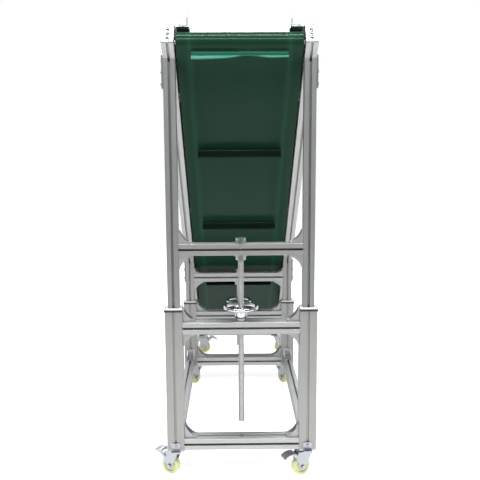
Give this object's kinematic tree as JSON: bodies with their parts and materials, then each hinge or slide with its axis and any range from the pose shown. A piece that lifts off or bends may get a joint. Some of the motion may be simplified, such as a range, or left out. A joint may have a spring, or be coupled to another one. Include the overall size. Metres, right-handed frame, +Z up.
{
  "type": "belt conveyor section",
  "caption": "Climbing cleated belt conveyor on a height-adjustable aluminium-profile stand with lead-screw handwheels and braked swivel castors.",
  "frame": {"origin": "middle of the whole object's box, on the ground under the castors", "axes": "+X across the belt to the right seen from the high discharge end, +Y from the discharge end towards the low feed end, +Z up"},
  "size_m": [0.625, 1.5156, 1.6086],
  "materials": {
    "aluminium_profile": "anodised, fine drawn lines",
    "cast_bracket": "die-cast, satin",
    "black_rubber": "matt",
    "end_cap_plastic": "light grey moulded",
    "zinc_steel": "zinc plated",
    "screw_steel": "turned steel, oiled",
    "bed_steel": "sheet steel",
    "plate_aluminium": "milled plate",
    "belt_green": "glossy green PVC",
    "cleat_green": "glossy green PVC, welded on",
    "guard_steel": "folded stainless sheet",
    "handwheel_chrome": "polished",
    "roller_steel": "turned steel",
    "castor_polyurethane": "pale yellow polyurethane"
  },
  "bodies": {
    "base": {"front_left_sleeve": "aluminium_profile", "front_right_sleeve": "aluminium_profile", "middle_left_sleeve": "aluminium_profile", "middle_right_sleeve": "aluminium_profile", "sleeve_gaskets": "black_rubber", "sleeve_caps": "end_cap_plastic", "front_lower_beam": "aluminium_profile", "middle_lower_beam": "aluminium_profile", "front_bottom_beam": "aluminium_profile", "middle_bottom_beam": "aluminium_profile", "side_beams": "aluminium_profile", "tail_beams": "aluminium_profile", "tail_crossbeam": "aluminium_profile", "base_brackets": "cast_bracket", "castor_plates": "zinc_steel", "thrust_bearings": "zinc_steel"},
    "lifting_frame": {"front_left_post": "aluminium_profile", "front_right_post": "aluminium_profile", "middle_left_post": "aluminium_profile", "middle_right_post": "aluminium_profile", "front_upper_beam": "aluminium_profile", "middle_upper_beam": "aluminium_profile", "lift_brackets": "cast_bracket", "front_lead_screw": "screw_steel", "middle_lead_screw": "screw_steel", "screw_nuts": "zinc_steel", "left_rail": "aluminium_profile", "right_rail": "aluminium_profile", "rail_cross_members": "aluminium_profile", "slider_bed": "bed_steel", "joint_plates": "plate_aluminium", "rail_end_plates": "plate_aluminium", "roller_bearings": "zinc_steel", "belt": "belt_green", "cleats": "cleat_green", "left_guard": "guard_steel", "right_guard": "guard_steel", "guard_brackets": "guard_steel"},
    "head_roller": {"head_roller": "roller_steel"},
    "tail_roller": {"tail_roller": "roller_steel"},
    "front_handwheel": {"front_handwheel": "handwheel_chrome"},
    "middle_handwheel": {"middle_handwheel": "handwheel_chrome"},
    "front_left_castor_fork": {"front_left_castor_fork": "zinc_steel"},
    "front_left_castor_wheel": {"front_left_castor_wheel": "castor_polyurethane"},
    "front_left_castor_pedal": {"front_left_castor_pedal": "zinc_steel"},
    "front_right_castor_fork": {"front_right_castor_fork": "zinc_steel"},
    "front_right_castor_wheel": {"front_right_castor_wheel": "castor_polyurethane"},
    "front_right_castor_pedal": {"front_right_castor_pedal": "zinc_steel"},
    "middle_left_castor_fork": {"middle_left_castor_fork": "zinc_steel"},
    "middle_left_castor_wheel": {"middle_left_castor_wheel": "castor_polyurethane"},
    "middle_left_castor_pedal": {"middle_left_castor_pedal": "zinc_steel"},
    "middle_right_castor_fork": {"middle_right_castor_fork": "zinc_steel"},
    "middle_right_castor_wheel": {"middle_right_castor_wheel": "castor_polyurethane"},
    "middle_right_castor_pedal": {"middle_right_castor_pedal": "zinc_steel"},
    "tail_left_castor_fork": {"tail_left_castor_fork": "zinc_steel"},
    "tail_left_castor_wheel": {"tail_left_castor_wheel": "castor_polyurethane"},
    "tail_left_castor_pedal": {"tail_left_castor_pedal": "zinc_steel"},
    "tail_right_castor_fork": {"tail_right_castor_fork": "zinc_steel"},
    "tail_right_castor_wheel": {"tail_right_castor_wheel": "castor_polyurethane"},
    "tail_right_castor_pedal": {"tail_right_castor_pedal": "zinc_steel"}
  },
  "joints": [
    {"name": "lift", "type": "slide", "parent": "base", "child": "lifting_frame", "axis": [0, 0, 1], "range_m": [-0.04, 0.15]},
    {"name": "front_handwheel_turn", "type": "hinge", "parent": "base", "child": "front_handwheel", "pos_m": [0.01003, -0.6884, 0.603], "axis": [0, 0, -1], "range_deg": [-3600, 13500]},
    {"name": "middle_handwheel_turn", "type": "hinge", "parent": "base", "child": "middle_handwheel", "pos_m": [0.01003, 0.2176, 0.413], "axis": [0, 0, -1], "range_deg": [-3600, 13500]},
    {"name": "head_roller_turn", "type": "hinge", "parent": "lifting_frame", "child": "head_roller", "pos_m": [0.01003, -0.70911, 1.48422], "axis": [1, 0, 0], "continuous": true},
    {"name": "tail_roller_turn", "type": "hinge", "parent": "lifting_frame", "child": "tail_roller", "pos_m": [0.01003, 0.59882, 0.28572], "axis": [1, 0, 0], "continuous": true},
    {"name": "front_left_castor_swivel", "type": "hinge", "parent": "base", "child": "front_left_castor_fork", "pos_m": [-0.21997, -0.6884, 0.093], "axis": [0, 0, 1], "continuous": true},
    {"name": "front_left_castor_roll", "type": "hinge", "parent": "front_left_castor_fork", "child": "front_left_castor_wheel", "pos_m": [-0.24098, -0.67904, 0.0325], "axis": [-0.4067, -0.9135, 0], "continuous": true},
    {"name": "front_left_castor_brake", "type": "hinge", "parent": "front_left_castor_fork", "child": "front_left_castor_pedal", "pos_m": [-0.25878, -0.67112, 0.06914], "axis": [-0.4067, -0.9135, 0], "range_deg": [0, 12]},
    {"name": "front_right_castor_swivel", "type": "hinge", "parent": "base", "child": "front_right_castor_fork", "pos_m": [0.24003, -0.6884, 0.093], "axis": [0, 0, 1], "continuous": true},
    {"name": "front_right_castor_roll", "type": "hinge", "parent": "front_right_castor_fork", "child": "front_right_castor_wheel", "pos_m": [0.2187, -0.69701, 0.0325], "axis": [0.3746, -0.9272, 0], "continuous": true},
    {"name": "front_right_castor_brake", "type": "hinge", "parent": "front_right_castor_fork", "child": "front_right_castor_pedal", "pos_m": [0.20064, -0.70431, 0.06914], "axis": [0.3746, -0.9272, 0], "range_deg": [0, 12]},
    {"name": "middle_left_castor_swivel", "type": "hinge", "parent": "base", "child": "middle_left_castor_fork", "pos_m": [-0.21997, 0.2176, 0.093], "axis": [0, 0, 1], "continuous": true},
    {"name": "middle_left_castor_roll", "type": "hinge", "parent": "middle_left_castor_fork", "child": "middle_left_castor_wheel", "pos_m": [-0.20678, 0.23644, 0.0325], "axis": [-0.8192, 0.5736, 0], "continuous": true},
    {"name": "middle_left_castor_brake", "type": "hinge", "parent": "middle_left_castor_fork", "child": "middle_left_castor_pedal", "pos_m": [-0.1956, 0.2524, 0.06914], "axis": [-0.8192, 0.5736, 0], "range_deg": [0, 12]},
    {"name": "middle_right_castor_swivel", "type": "hinge", "parent": "base", "child": "middle_right_castor_fork", "pos_m": [0.24003, 0.2176, 0.093], "axis": [0, 0, 1], "continuous": true},
    {"name": "middle_right_castor_roll", "type": "hinge", "parent": "middle_right_castor_fork", "child": "middle_right_castor_wheel", "pos_m": [0.22684, 0.23644, 0.0325], "axis": [-0.8192, -0.5736, 0], "continuous": true},
    {"name": "middle_right_castor_brake", "type": "hinge", "parent": "middle_right_castor_fork", "child": "middle_right_castor_pedal", "pos_m": [0.21566, 0.2524, 0.06914], "axis": [-0.8192, -0.5736, 0], "range_deg": [0, 12]},
    {"name": "tail_left_castor_swivel", "type": "hinge", "parent": "base", "child": "tail_left_castor_fork", "pos_m": [-0.19997, 0.72782, 0.093], "axis": [0, 0, 1], "continuous": true},
    {"name": "tail_left_castor_roll", "type": "hinge", "parent": "tail_left_castor_fork", "child": "tail_left_castor_wheel", "pos_m": [-0.17697, 0.72782, 0.0325], "axis": [0, 1, 0], "continuous": true},
    {"name": "tail_left_castor_brake", "type": "hinge", "parent": "tail_left_castor_fork", "child": "tail_left_castor_pedal", "pos_m": [-0.15749, 0.72782, 0.06914], "axis": [0, 1, 0], "range_deg": [0, 12]},
    {"name": "tail_right_castor_swivel", "type": "hinge", "parent": "base", "child": "tail_right_castor_fork", "pos_m": [0.22003, 0.72782, 0.093], "axis": [0, 0, 1], "continuous": true},
    {"name": "tail_right_castor_roll", "type": "hinge", "parent": "tail_right_castor_fork", "child": "tail_right_castor_wheel", "pos_m": [0.24303, 0.72782, 0.0325], "axis": [0, 1, 0], "continuous": true},
    {"name": "tail_right_castor_brake", "type": "hinge", "parent": "tail_right_castor_fork", "child": "tail_right_castor_pedal", "pos_m": [0.26251, 0.72782, 0.06914], "axis": [0, 1, 0], "range_deg": [0, 12]}
  ],
  "couplings": [
    {"joint": "front_handwheel_turn", "follows": "lift", "rad_per_m": 1570.8},
    {"joint": "middle_handwheel_turn", "follows": "lift", "rad_per_m": 1570.8},
    {"joint": "tail_roller_turn", "follows": "head_roller_turn", "ratio": 1}
  ]
}
